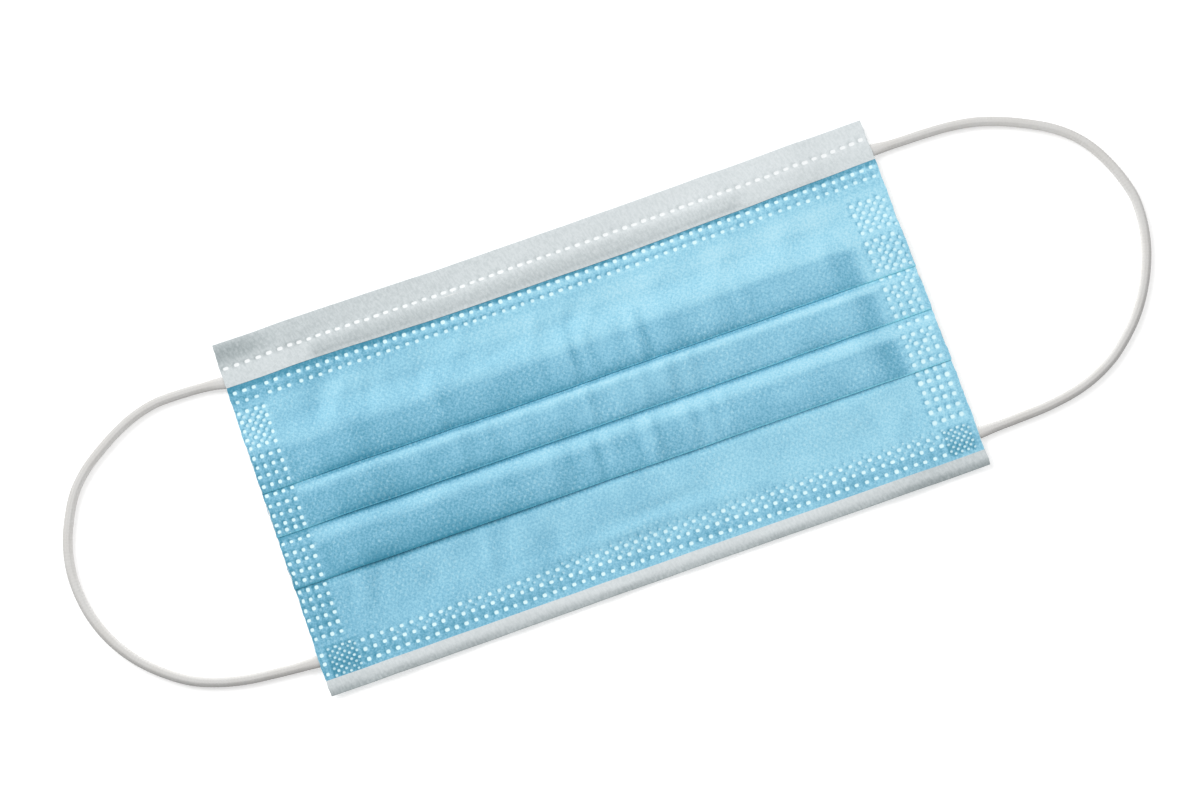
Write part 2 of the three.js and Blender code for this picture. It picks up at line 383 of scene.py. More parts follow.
class Walk:
    """A path of steps that starts at t, z, heading. Its cloth distance v is measured at x = 0."""

    def __init__(self, t, z, heading):
        self.start = (t, z, heading)
        self.steps = []
        self.rows = [0]
        self.begins = []
        self.length = 0

    def state(self, x, count):
        """Where the walk stands after its first steps."""
        x = np.asarray(x, float)
        place = tuple(at(value, x) for value in self.start)
        for stand in self.steps[:count]:
            place = stand(np.ones_like(x), x, *place)
        return place

    def add(self, stand, spacing):
        """Adds a step, with mesh rows about a spacing apart."""
        u = np.linspace(0, 1, STEP_SAMPLES)
        t, z, _ = stand(u, np.zeros_like(u), *self.state(np.zeros_like(u), None))
        length = float(np.hypot(np.diff(t), np.diff(z)).sum())
        self.begins.append(self.length)
        self.steps.append(stand)
        rows = max(1, round(length / spacing))
        self.rows += [self.length + length * (i + 1) / rows for i in range(rows)]
        self.length += length
        return self

    def span(self, step):
        ends = self.begins[1:] + [self.length]
        return self.begins[step], ends[step]

    def follow(self, x, v):
        """Where the cloth's points (x, v) lie: t, z and the heading there."""
        found = np.zeros((3, len(x)))
        place = self.state(x, 0)
        for step, stand in enumerate(self.steps):
            begin, end = self.span(step)
            u = np.clip((v - begin) / (end - begin), 0, 1)
            spot = np.array(stand(u, x, *place))
            here = (v >= begin) | (step == 0)
            found[:, here] = spot[:, here]
            place = stand(np.ones_like(x), x, *place)
        return found

    def distance(self, steps, x, t):
        """v where one of some steps that follow one another passes t."""
        point = np.array([x])
        for step in steps:
            begin_t, end_t = (self.state(point, count)[0][0] for count in (step, step + 1))
            share = (t - begin_t) / (end_t - begin_t)
            if share <= 1 or step == steps[-1]:
                begin, end = self.span(step)
                return begin + np.clip(share, 0, 1) * (end - begin)


# How far apart the mesh rows are
VISIBLE_ROWS = 1
SLOPE_ROWS = 0.6
FOLD_ROWS = 0.13
HIDDEN_ROWS = 3
HIDDEN_FOLD_ROWS = 0.25
WIRE_ROWS = 0.35
# How many steps a pleat has, and how many of its first ones show from outside
STEPS_PER_PLEAT = 6
SHOWN_STEPS = 3


def laminate_walk():
    """The middle of the three plies, from the nose edge to the chin edge."""
    walk = Walk(0, HALF, 0)
    for pleat in PLEATS:
        add_pleat(walk, pleat)
    walk.add(run(HEIGHT - AIR_CHIN), VISIBLE_ROWS)
    return walk.add(run(HEIGHT), SLOPE_ROWS)


def add_pleat(walk, pleat):
    """Up over a pleat's hidden layers, down to its fold, back below itself and forward again."""
    fold, climb = pleat["fold"], pleat["climb"]

    def hidden(x):
        return pleat["begin"] + layer(x) / 2 + HALF

    def fold_radius(x, heading):
        return layer(x) / (1 + np.cos(heading))

    def fold_start(x):
        reach = np.maximum(0, puff(x, pleat)) / (fold - hidden(x))
        radius = layer(x) / 2
        return fold - HALF - radius + radius * np.sin(np.arctan(reach * arch(1)[1]))

    walk.add(run(lambda x: hidden(x) - climb), VISIBLE_ROWS)
    walk.add(slope(climb, lambda x: 2 * layer(x) + puff(x, pleat)), SLOPE_ROWS)
    walk.add(arc_down(fold_start, lambda x: puff(x, pleat)), SLOPE_ROWS)
    walk.add(turn(fold_radius, RIGHT_TURN, -math.pi), FOLD_ROWS)
    walk.add(run(hidden), HIDDEN_ROWS)
    walk.add(turn(lambda x, _: layer(x) / 2, LEFT_TURN, 0), HIDDEN_FOLD_ROWS)


LAMINATE = laminate_walk()


def cloth_distance(x, t, front):
    """v of the layer that shows at (x, t), seen from the front or from the back."""
    edge = "fold" if front else "begin"
    first = STEPS_PER_PLEAT * sum(t > pleat[edge] for pleat in PLEATS)
    return LAMINATE.distance(range(first, min(first + SHOWN_STEPS, len(LAMINATE.steps))), x, t)


# The levels of the inner ply's back and bands, and the turn from one to the other
BACK_LEVEL = HALF - PITCH
BAND_LEVEL = BACK_LEVEL + 3 * PITCH
EDGE_RADIUS = (BAND_LEVEL - BACK_LEVEL) / 2
EDGE_INSET = EDGE_RADIUS + PLY / 2
EDGE_ROWS = 0.1
# How far the wire's ridge fades past its ends and before them
FADE_PAST = 1.8
FADE_BEFORE = 0.4


def over_wire(x):
    """1 where the nose wire lies under the band."""
    start = ramp(x, WIRE_LOW.x - FADE_PAST, WIRE_LOW.x + FADE_BEFORE)
    return start * (1 - ramp(x, WIRE_HIGH.x - FADE_BEFORE, WIRE_HIGH.x + FADE_PAST))


def ridge(x):
    return over_wire(x) * (WIRE_THICK + PLY_GAP)


def nose_band_walk():
    """The inner ply from the band's cut edge, up over the wire and round the nose edge."""
    far = WIRE_NEAR + WIRE_WIDTH + PLY_GAP
    walk = Walk(nose_band, BAND_LEVEL, UP_THE_MASK)
    walk.add(run(lambda x: nose_band(x) - BAND_LIP), SLOPE_ROWS)
    walk.add(slope(lambda x: nose_band(x) - BAND_LIP - far, ridge), WIRE_ROWS)
    walk.add(run(WIRE_NEAR - PLY_GAP), SLOPE_ROWS)
    walk.add(slope(WIRE_SLOPE, lambda x: -ridge(x)), WIRE_ROWS)
    walk.add(run(EDGE_INSET), VISIBLE_ROWS)
    walk.add(turn(lambda x, _: EDGE_RADIUS, LEFT_TURN, 2 * math.pi), EDGE_ROWS)
    return walk


def chin_band_walk():
    walk = Walk(HEIGHT - EDGE_INSET, BACK_LEVEL, 0)
    walk.add(turn(lambda x, _: EDGE_RADIUS, LEFT_TURN, math.pi), EDGE_ROWS)
    walk.add(run(HEIGHT - CHIN_BAND), SLOPE_ROWS)
    return walk


NOSE_WALK = nose_band_walk()
CHIN_WALK = chin_band_walk()


def band_distance(x, t):
    """v on the nose band's front, which is its walk up to the turn at the nose edge."""
    return NOSE_WALK.distance(range(len(NOSE_WALK.steps) - 1), x, t)


def across(t):
    """y of a point t down the mask at its ends."""
    return HEIGHT / 2 - t


def place(x, spot, distance, ragged):
    """Points in millimetres for cloth at t, z, heading, moved sideways off the walk."""
    t, z, heading = spot
    t = t - distance * np.sin(heading)
    squeeze = WELDED + (1 - WELDED) * freedom(x)
    z = squeeze * (z + distance * np.cos(heading)) + level(x, t)
    return np.stack([x + ragged, across(t) - bow(x, t), z], axis=1)


def ragged_edge(x, v, seed):
    """How far a ply's cut side edge strays."""
    draw = np.random.default_rng(seed)
    stray = np.zeros(len(x))
    for wave in RAGGED_WAVES:
        shift = draw.uniform(0, 6.3) + (x > 0) * RAGGED_SHIFT
        stray += draw.uniform(*RAGGED_SIZES) * np.sin(2 * np.pi * v / wave + shift)
    near = ramp(np.abs(x), SIDE - RAGGED_EDGE, SIDE)
    return RAGGED * (stray / RAGGED_SUM - 0.5) * near * np.sign(x)


# ---- Weld dots: x, t, size along x, size down the mask, how hard it is pressed ----

ROUND = (1.26, 1.12, 1)
SOFT_ROUND = (1.26, 1.08, 0.82)
DASH = (1.65, 1.05, 1)
SMALL = (1.16, 1.14, 1)
PEARL = (1.28, 1.24, 0.74)
BEAD = (1.42, 1.34, 0.86)
FAINT = (1, 0.95, 0.62)
HATCH = (0.88, 0.78, 0.68)
SPECK = (0.74, 0.68, 0.45)

# How far dots stray, how much their sizes differ, and the least share of their press
DOT_SEED = 5
DOT_STRAY = 0.06
DOT_SPREAD = 0.07
DOT_PRESS = 0.76
# The right side's columns bow by this much, from a t and over a length
BEND = 0.8
BEND_START = 19
BEND_LENGTH = 78
# How far apart the rows of a diamond stamp are
STAMP_ROWS = 0.87


def dot_row(last, count, pitch, down, size, slips=()):
    """Dots from the right. down says how far down the row lies, as (x, t) pairs, and the dots
    left of a slip's edge are moved left by its shift."""
    dots = []
    for i in range(count):
        x = last - i * pitch
        for edge, shift in slips:
            if x < edge:
                x -= shift
        dots.append((x, float(read(down, x)), *size))
    return dots


def dot_columns(columns, blocks, size, bend=0):
    """Dots down the mask. A block is its first t, its number of rows and their pitch."""
    dots = []
    for start, count, pitch in blocks:
        for i in range(count):
            t = start + i * pitch
            stray = bend * math.sin(math.pi * np.clip((t - BEND_START) / BEND_LENGTH, 0, 1))
            dots += [(x + stray, t, *size) for x in columns]
    return dots


def stamp(x, t, rows, columns, pitch):
    """A diamond grid of small dots."""
    dots = []
    for row in range(rows):
        first = x + (pitch / 2 if row % 2 else 0)
        dots += [(first + i * pitch, t + row * STAMP_ROWS, *HATCH) for i in range(columns)]
    return dots


NOSE_SEAM = [
    (-87.5, 7), (-70, 6.7), (-45, 6.7), (0, 6.2), (30, 6), (62, 5.95), (75, 5.7), (87.5, 5.1),
]
BAND_DOTS = dot_row(85.8, 62, 2.577, NOSE_SEAM, DASH)
BAND_DOTS += dot_row(-74.3, 5, 2.93, NOSE_SEAM, DASH)

UPPER_SEAM = [(-87.5, 13.85), (-45, 13.8), (0, 13.55), (40, 13.35), (75, 13.15), (87.5, 12.75)]
LOWER_SEAM = [(-87.5, 16.4), (-45, 16.3), (0, 16.1), (40, 15.8), (62, 15.75), (87.5, 15.15)]
FRONT_DOTS = dot_row(85.7, 67, 2.576, UPPER_SEAM, ROUND, [(-72.5, 0.8), (-79, 0.75)])
FRONT_DOTS += dot_row(85.7, 67, 2.576, LOWER_SEAM, SOFT_ROUND, [(-70.5, 0.75), (-79, 0.9)])
CHIN_PITCH = 2.592
for ends, middle, size in ((84.15, 83.85, SOFT_ROUND), (86.6, 86.3, ROUND), (89.2, 88.9, ROUND)):
    chin_row = [(-87.5, ends), (-30, middle), (50, middle), (87.5, ends)]
    FRONT_DOTS += dot_row(77.4, 60, CHIN_PITCH, chin_row, size)
LEFT_BLOCKS = [(19.3, 5, 2.38), (31.65, 5, 2.53), (44.6, 5, 2.54), (57.6, 5, 2.52), (70.1, 5, 2.52)]
RIGHT_BLOCKS = [(20.8, 4, 2.52), (31.2, 5, 2.53), (44.1, 5, 2.56), (57.2, 5, 2.53)]
RIGHT_END_BLOCKS = [(69.8, 3, 2.55), (77.7, 2, 2.8)]
RIGHT_COLUMNS = (77.4, 79.8, 82.1, 84.5)
FRONT_DOTS += dot_columns((-86.6, -84.35, -82.1, -79.85), LEFT_BLOCKS, SMALL)
FRONT_DOTS += dot_columns(RIGHT_COLUMNS, RIGHT_BLOCKS, PEARL, BEND)
FRONT_DOTS += dot_columns(RIGHT_COLUMNS, RIGHT_END_BLOCKS, BEAD, BEND)
FRONT_DOTS += [(-86.4, t, *SMALL) for t in (84.5, 86.9, 89.5)]
# The welder has struck twice near the top of both sides
FRONT_DOTS += dot_columns((78.6, 80.95, 83.3, 85.7), [(21.9, 3, 2.52)], FAINT, BEND)
FRONT_DOTS += dot_columns((81.1, 83.4, 85.9), [(32.5, 4, 2.53)], FAINT, BEND)
FRONT_DOTS += dot_columns((-85.5, -83.2, -81), [(20.5, 4, 2.38)], FAINT)
FRONT_DOTS += [
    (x, t, *FAINT) for x, t in [
        (86.6, 29), (79.1, 32.5), (79, 37.6), (79.6, 45.4), (81.9, 45.4), (84.3, 47.9),
        (84.2, 42.9), (86.3, 42.9), (79.4, 58.5), (84, 58.5), (81.7, 61),
    ]
]
FRONT_DOTS += stamp(-84.45, 83.45, 9, 4, 1.95) + stamp(79.3, 83.45, 8, 4, 1.74)

# Lighter strikes between the chin's rows, which only the front shows
SPECKS = dot_row(78.5, 57, CHIN_PITCH, [(-87.5, 85.4), (-30, 85.1), (50, 85.1), (87.5, 85.4)], SPECK)
SPECKS += dot_row(78.9, 40, CHIN_PITCH, [(-30, 82.75), (50, 82.7), (87.5, 83)], SPECK)

# How far dots keep from a folded edge
FOLD_CLEARANCE = 1.25


def on_cloth(dots, front):
    """Dots kept clear of the folded edges: x, v, half size along x, half size along v, press."""
    placed = []
    for x, t, width, height, press in dots:
        for pleat in PLEATS:
            past = t - pleat["fold"] if front else pleat["begin"] - t
            if -FOLD_CLEARANCE < past <= 0:
                t += (-FOLD_CLEARANCE - past) * (1 if front else -1)
        placed.append((x, cloth_distance(x, t, front), width / 2, height / 2, press))
    return np.array(placed)


def uneven(dots):
    """Dots as a weld wheel leaves them: a little out of place and of uneven size."""
    draw = np.random.default_rng(DOT_SEED)
    dots = np.array(dots)
    dots[:, :2] += draw.normal(0, DOT_STRAY, (len(dots), 2))
    dots[:, 2:4] *= 1 + draw.normal(0, DOT_SPREAD, (len(dots), 2))
    dots[:, 4] *= draw.uniform(DOT_PRESS, 1, len(dots))
    return dots


# ---- How deep the colours look: from what lies under the cloth, and painted shade and light ----

# The tables' pairs begin with an x, or with a t where that is said. This is how much deeper the
# colour gets over the whole of the blue cloth: a painted shade, deeper at the left end and paler
# at the right
SLANT = [(-75, 0.45), (-32, 0.18), (0, 0), (37, -0.22), (64, -0.30)]
# How soft the edge of the hidden layers shows
LAYER_BLUR = [(-60, 1.5), (30, 1.2), (64, 0.8)]
# The nose band's painted shadow on the blue, and how far down it reaches
BAND_SHADOW = [(0, 2.05), (30, 2.25)]
BAND_SHADOW_REACH = [
    (-80, 1.6), (-65, 1.75), (-47, 1.75), (-27, 1.4), (-7, 1.25), (12, 1.15), (32, 1.25), (52, 1.35),
    (72, 1.6),
]
# In the nose edge's weld rows, between them, and how far below the band that is
NOSE_ROWS = [(-87, 0.85), (-60, 0.5), (-30, 0.3), (0, 0), (30, 0.2), (60, 0.6), (87, 0.6)]
BETWEEN_ROWS = [(-78, 0.2), (-65, 0.35), (-47, 0.7), (-27, 1.1), (12, 1.2), (32, 0.8), (52, 0.45)]
BETWEEN_ROWS_BELOW = [(0, 3.3), (50, 2.8)]
# In the chin's weld rows, by t, and how much paler the cloth around them is
CHIN_ROWS = [(82.8, 0), (84.2, 0.1), (85.4, 0.1), (87, 0.45), (88.2, 0.75), (89, 0.55), (89.6, 0.3)]
CHIN_PALER = [(-72, 0), (-47, 0.05), (-22, 0.1), (2, 0.12), (27, 0), (52, -0.2)]
# In the left weld columns, by t: the welds' own colour, and a painted shade deeper at the left end
LEFT_COLUMNS = [(20, 0.35), (28, 0.4), (32, 1.05), (50, 1.2), (66, 1.2), (70, 1.3), (80, 1.1)]
# On the white nose band: a painted shade deeper at the left end, and the grey over its wire, partly
# the wire under the band and partly painted shade on the lower slope of its ridge
BAND_SLANT = [(-87.5, 0.58), (-67, 0.46), (-32, 0.16), (0, 0), (37, -0.25), (64, -0.2)]
WIRE_GREY = [(-60, 1.1), (50, 0.5)]

# A fold's painted shade: weight and half width of its broad and of its sharp part above the fold,
# how far its painted shadow reaches below, how wide the bright line on the fold is, and where the
# painted glow past the shadow lies and how wide it is
FOLD_BROAD = (0.40, 3.2)
FOLD_SHARP = (0.60, 0.55)
FOLD_SHADOW = 1.12
FOLD_LINE = 0.22
GLOW_PLACE = 1.9
GLOW_WIDTH = 0.8


def layered(x, t):
    """1 where a pleat's hidden layers lie under the front, 0 where the mask is one laminate."""
    blur = read(LAYER_BLUR, x)
    total = 0
    for pleat in PLEATS:
        edge = ramp(t, pleat["begin"] - 0.6 * blur, pleat["begin"] + 1.6 * blur)
        total += edge * (1 - ramp(t, pleat["fold"] - 0.05, pleat["fold"] + 0.1))
    return total


def nose_tone(x, t):
    """How deep the painted shade is on the nearest folded edge."""
    nearest = np.argmin([np.abs(t - pleat["fold"]) for pleat in PLEATS], axis=0)
    return np.choose(nearest, [np.interp(x, FOLD_X, pleat["nose"]) for pleat in PLEATS])


def near_shadow(t):
    """How much of a crease's painted deeper blue, for bounced light, lies right below a fold."""
    return 0.6 * sum(bump(t, pleat["fold"], 0.35) * (t > pleat["fold"]) for pleat in PLEATS)


def fold_shade(x, t):
    """How much painted shade a fold puts on the cloth above it and right below it, and how much
    painted light further on.
    """
    total = 0
    for pleat in PLEATS:
        below = t - pleat["fold"]
        broad, sharp = (share * bump(below, 0, width) for share, width in (FOLD_BROAD, FOLD_SHARP))
        shadow = np.exp(-((np.maximum(below, 0) / FOLD_SHADOW) ** 3)) - bump(below, 0, FOLD_LINE)
        shadow = shadow * np.interp(x, FOLD_X, pleat["under"])
        glow = pleat["glow"] * bump(below, GLOW_PLACE, GLOW_WIDTH)
        shade = np.interp(x, FOLD_X, pleat["shade"])
        total = total + np.where(below < 0.1, shade * (broad + sharp), shadow - glow)
    return (0.4 + 0.6 * freedom(x)) * total


def blue_tone(x, t):
    """How deep the blue is: about 0 on one laminate, 1 over a pleat's layers and 2 in a fold.
    It holds painted shade and light too: the folds' shade, shadows and glow, the nose band's
    shadow, and a shade that is deeper at the left end than at the right.
    """
    layers = layered(x, t)
    tone = layers + read(SLANT, x) * (1 - 0.25 * layers) + 0.45 * ramp(t, 66.5, 69.5)
    for pleat in PLEATS:
        begin, fold = pleat["begin"], pleat["fold"]
        # painted shade on the pressed-down stretch of each pleat's end, paler cloth beside it, and a
        # deeper colour on each climb that tempers its painted slope highlight
        pressed = window(x, *pleat["press"], 1.8) * window(t, begin, fold, 0.9)
        beside = window(x, pleat["press"][1] + 0.6, 76.4, 0.4) * layers * (t < fold)
        tone += pleat["pressed"] * pressed
        tone -= 0.5 * beside
        tone += 0.28 * freedom(x) * window(t, begin - pleat["climb"], begin, 1)
    # stretches of single pleats
    tone += 0.2 * window(x, -78, -72, 1.5) * layers * ramp(t, 41, 43)
    tone -= 0.22 * window(x, -12, 52, 8) * layers * window(t, 43, 52.7, 1)
    tone += 0.22 * ramp(x, 15, 45) * window(t, 54, 56.8, 0.6)
    # the nose band's painted shadow and the weld rows below it
    below_band = t - nose_band(x)
    reach = read(BAND_SHADOW_REACH, x)
    tone += read(BAND_SHADOW, x) * (1 - ramp(below_band, 0.45 * reach, reach))
    tone += read(NOSE_ROWS, x) * window(t, 13, 17.2, 0.35)
    tone += 0.3 * window(t, 17.2, 18.9, 0.35)
    tone += read(BETWEEN_ROWS, x) * bump(below_band, read(BETWEEN_ROWS_BELOW, x), 0.5)
    # the chin's weld rows
    tone += read(CHIN_ROWS, t)
    tone -= read(CHIN_PALER, x) * ramp(t, 82, 84)
    # the weld columns of both sides, and the margin past the right one: the welds' own colour and the
    # layers under them, with painted shade deeper at the left end and paler at the right
    column = window(t, 18.9, 82, 0.5)
    welded_and_shaded = read(LEFT_COLUMNS, t) + 0.35 * (1 - ramp(x, -87, -85.6)) * window(t, 31, 68, 1)
    tone += (1 - ramp(x, -79.1, -78.5)) * column * (welded_and_shaded - tone)
    welded_and_shaded = -0.2 + 0.22 * layers + 0.35 * ramp(t, 66, 67)
    tone += window(x, 76.6, 85.9, 0.4) * column * (welded_and_shaded - tone)
    welded_and_shaded = 0.1 + 0.45 * layers + 0.45 * ramp(t, 66, 70)
    tone += ramp(x, 85.9, 86.3) * column * (welded_and_shaded - tone)
    left_stamp = window(x, -85, -77.4, 0.3) * window(t, 82.9, 90.9, 0.3)
    right_stamp = window(x, 78.7, 86, 0.3) * window(t, 83, 90.2, 0.3)
    return tone + fold_shade(x, t) + 0.8 * left_stamp + 0.95 * right_stamp


def band_grey(x, t):
    """0 on the plain white band, 1 on its darkest zones. Part of it is painted shade."""
    upper = read(BAND_SLANT, x) * (1 - ramp(t, 6.6, 7.8))
    corner = 0.7 * (1 - ramp(x, -82, -68)) * ramp(t, 0, 2.2) * (1 - ramp(t, 3.8, 6.4))
    # over the wire: partly the wire under the band, partly painted shade on the ridge's lower slope
    wire = over_wire(x) * (0.4 * ramp(t, 7.4, 8.6) + 0.2 * bump(t, 9.7, 0.6)) * read(WIRE_GREY, x)
    edge = 0.2 * ramp(t, 10.2, 11.2) * window(x, -64, 75, 3)
    return upper + corner + np.maximum(wire, edge)


def chin_grey(x, t):
    # painted shade, darker towards the chin's rolled edge, and greyer towards both ends
    ends = 0.2 * (1 - ramp(x, -80, -60)) + 0.5 * ramp(x, 50, 75)
    return 1.1 * ramp(t, HEIGHT - 2.2, HEIGHT - 0.3) - 0.25 + ends


# ---- Ply meshes ----

# The mesh points of a weld dot: radius as a share of the dot's, count and share of its depth
DOT_RINGS = [(0, 1, 1), (0.62, 8, 0.94), (1.06, 10, 0)]
# How far other mesh points keep from a dot, how dark the painted shade and how bright the painted
# highlight on the sides of its rim are, and how deep it is
DOT_CLEAR = 0.42
DOT_SHADE = 1.35
DOT_SHINE = 0.55
DIMPLE = 0.06
# How much painted shade the front dots' rims get, as (t, share), and which way: along x, and down
# the mask as (t, way). Then the way for the back's and the bands' dots, and how grey that painted
# shade is
RIM_SHADE = [(14.6, 1), (16, 0.6), (17.5, 0.6), (19, 1), (82, 1), (84, 0.75)]
RIM_LEFT = -0.8
RIM_DOWN = [(80, -0.6), (84, 0)]
BACK_RIM = (-0.85, 0.2)
BACK_RIM_GREY = 0.5
# How far apart mesh columns are, on the two front plies and on the back
COLUMNS = 1
BACK_COLUMNS = 1.15
# The least distance from the inner ply's turns to its next row
ROW_MARGIN = 0.3
# Edges sharper than this many degrees are drawn sharp
SHARP_CLOTH = 48
SHARP_TUBE = 60


def shaded_side(t):
    """The way from a front dot's middle to its rim's painted shade in (x, v), longer the darker it is.
    """
    strength = read(RIM_SHADE, t)
    return np.stack([RIM_LEFT * strength, read(RIM_DOWN, t) * strength], axis=1)


def cloth_points(rows, dots, columns, dark=(0, 0)):
    """Points (x, v), how deep each lies in a weld dot, how much painted shade (above 0) or painted
    highlight (below 0) the dot's rim has there, and their triangles. dark is the way from a dot's
    middle to its rim's painted shade in (x, v), one for all dots or one each."""
    xs = np.linspace(-SIDE, SIDE, int(2 * SIDE / columns) + 1)
    rows = np.array(rows)
    grid_x, grid_v = (g.ravel() for g in np.meshgrid(xs, rows))
    keep = np.ones(len(grid_x), bool)
    rim = (np.abs(grid_x) > SIDE - 1e-6) | (grid_v < rows[0] + 1e-6) | (grid_v > rows[-1] - 1e-6)
    rings = []
    dark = np.broadcast_to(dark, (len(dots), 2))
    for (x, v, half_x, half_v, press), (dark_x, dark_v) in zip(dots, dark):
        far = ((grid_x - x) / (half_x + DOT_CLEAR)) ** 2 + ((grid_v - v) / (half_v + DOT_CLEAR)) ** 2
        keep &= (far > 1) | rim
        for radius, count, depth in DOT_RINGS:
            angle = 2 * np.pi * (np.arange(count) + 0.5) / count
            # a dot is a square with round corners
            reach = radius / (np.abs(np.cos(angle)) ** 4 + np.abs(np.sin(angle)) ** 4) ** 0.25
            ring_x = x + half_x * reach * np.cos(angle)
            ring_v = v + half_v * reach * np.sin(angle)
            # painted shade on the rim's side that dark points to, painted highlight on the other
            side = (dark_x * np.cos(angle) + dark_v * np.sin(angle)) * (depth == 0)
            shade = DOT_SHADE * np.maximum(side, 0) + DOT_SHINE * np.minimum(side, 0)
            rings.append(np.stack([ring_x, ring_v, np.full(count, depth * press), shade], axis=1))
    nothing = np.zeros(keep.sum())
    base = np.stack([grid_x[keep], grid_v[keep], nothing, nothing], axis=1)
    points = np.concatenate([base, *rings])
    inside = (np.abs(points[:, 0]) <= SIDE) & (points[:, 1] >= rows[0]) & (points[:, 1] <= rows[-1])
    points = points[inside]
    flat = [Vector(point[:2]) for point in points]
    _, _, faces, origins, _, _ = delaunay_2d_cdt(flat, [], [], 0, 1e-5, True)
    order = [o[0] for o in origins]
    return points[order], np.array([tuple(f) for f in faces])


def add_object(name, data):
    item = bpy.data.objects.new(name, data)
    bpy.context.scene.collection.objects.link(item)
    return item


def add_piece(name, points, faces, attributes, sharp):
    """A smooth-shaded mesh, with a number or a vector at each point for its material to read."""
    mesh = bpy.data.meshes.new(name)
    mesh.from_pydata((points * MM).tolist(), [], faces)
    for key, values in attributes.items():
        kind, field = ("FLOAT_VECTOR", "vector") if values.ndim > 1 else ("FLOAT", "value")
        attribute = mesh.attributes.new(key, kind, "POINT")
        attribute.data.foreach_set(field, values.astype(np.float32).ravel())
    mesh.shade_smooth()
    mesh.set_sharp_from_angle(angle=math.radians(sharp))
    return add_object(name, mesh)


def closed_wall(name, outside, inside, faces, attributes):
    """A closed mesh from two matching faces of a wall. Seen from outside, faces run anticlockwise."""
    count = len(outside)
    directed = np.concatenate([faces[:, [0, 1]], faces[:, [1, 2]], faces[:, [2, 0]]])
    edges = np.sort(directed, axis=1)
    _, index, uses = np.unique(edges, axis=0, return_index=True, return_counts=True)
    polygons = [tuple(f) for f in faces]
    polygons += [tuple(f[::-1] + count) for f in faces]
    polygons += [(b, a, a + count, b + count) for a, b in directed[index[uses == 1]]]
    doubled = {key: np.concatenate([values, values]) for key, values in attributes.items()}
    return add_piece(name, np.concatenate([outside, inside]), polygons, doubled, SHARP_CLOTH)


def hidden_cloth(v):
    """1 on the stretches of cloth that are folded away inside a pleat."""
    inside = np.zeros(len(v))
    for pleat in range(len(PLEATS)):
        begin = LAMINATE.span(STEPS_PER_PLEAT * pleat + 4)[0]
        end = LAMINATE.span(STEPS_PER_PLEAT * pleat + 5)[1]
        inside[(v > begin) & (v < end)] = 1
    return inside


def tucked_rows():
    """Mesh rows of the two plies that end below the white bands."""
    rows = [v for v in LAMINATE.rows if TUCK < v < LAMINATE.length - TUCK]
    return [TUCK, *rows, LAMINATE.length - TUCK]


DRAWN_IN = 0.4


def under_bands(x, t):
    """How far a ply's side edges are drawn in below the white bands."""
    chin_edge = HEIGHT - CHIN_BAND
    covered = 1 - ramp(t, nose_band(x) - 1, nose_band(x)) + ramp(t, chin_edge, chin_edge + 1)
    return DRAWN_IN * covered * ramp(np.abs(x), SIDE - RAGGED_EDGE, SIDE) * np.sign(x)


# The side that the light comes from, and how much painted shade and painted highlight the cloth's
# tone takes from its lean away from it or to it
LIGHT_SIDE = np.array([-0.62, 0.36, 0])
SLOPE_TONE = 1.7
BAND_SLOPE_TONE = 0.8
STEEPEST = 0.3


def facing(points, faces):
    """How far each point of a cloth leans to the light's side, from minus to plus the steepest."""
    first, second, third = (points[faces[:, i]] for i in range(3))
    normal = np.cross(second - first, third - first)
    total = np.zeros_like(points)
    for i in range(3):
        np.add.at(total, faces[:, i], normal)
    total *= np.sign(total[:, 2:]) / np.linalg.norm(total, axis=1)[:, None]
    return np.clip(total @ LIGHT_SIDE, -STEEPEST, STEEPEST)


def laminate(x, v, seed):
    """Where points of the outer or the filter ply lie, how they stray, and their cloth's place."""
    spot = LAMINATE.follow(x, v)
    return spot, ragged_edge(x, v, seed) - under_bands(x, spot[0]), flat_cloth(x, v)


def flat_cloth(x, v):
    """Where points lie on the flat cloth, which its material reads."""
    return np.stack([x, v, np.zeros(len(x))], axis=1)


# How deep the blue is on cloth that is folded away
HIDDEN_TONE = 1.2
# Where the front turns down into a fold, its colour is the fold's own painted shade: the headings
# between which that sets in, and how much of it
FOLD_TURN = (0.3, 0.9)
FOLD_SHARE = 0.9


def outer_ply():
    dots = uneven(FRONT_DOTS + SPECKS)
    dark = shaded_side(dots[:, 1])
    points, faces = cloth_points(tucked_rows(), on_cloth(dots, True), COLUMNS, dark)
    x, v, weld, rim = points.T
    spot, stray, cloth = laminate(x, v, 1)
    outside = place(x, spot, PITCH + PLY / 2 - DIMPLE * weld, stray)
    inside = place(x, spot, PITCH - PLY / 2, stray)
    hidden = hidden_cloth(v)
    # painted shade and highlight: the dots' rims, and the cloth's lean from or to the light's side
    shaded = blue_tone(x, spot[0]) + rim - SLOPE_TONE * facing(outside, faces) * (1 - weld)
    # on a fold's turn the colour is the fold's painted shade
    nose = ramp(-spot[2], *FOLD_TURN)
    shaded = shaded + FOLD_SHARE * nose * (nose_tone(x, spot[0]) - shaded)
    tone = hidden * HIDDEN_TONE + (1 - hidden) * shaded
    # where the painted deeper blue of bounced light in a crease goes
    crease = np.maximum(nose, near_shadow(spot[0]))
    attributes = {"weld": weld, "tone": tone, "crease": crease, "cloth": cloth}
    return closed_wall("outer_cloth", outside, inside, faces[:, ::-1], attributes)


def filter_ply():
    points, faces = cloth_points(tucked_rows(), [], COLUMNS)
    x, v, _, _ = points.T
    spot, stray, cloth = laminate(x, v, 2)
    outside = place(x, spot, PLY / 2, stray)
    inside = place(x, spot, -PLY / 2, stray)
    return closed_wall("filter_cloth", outside, inside, faces[:, ::-1], {"cloth": cloth})


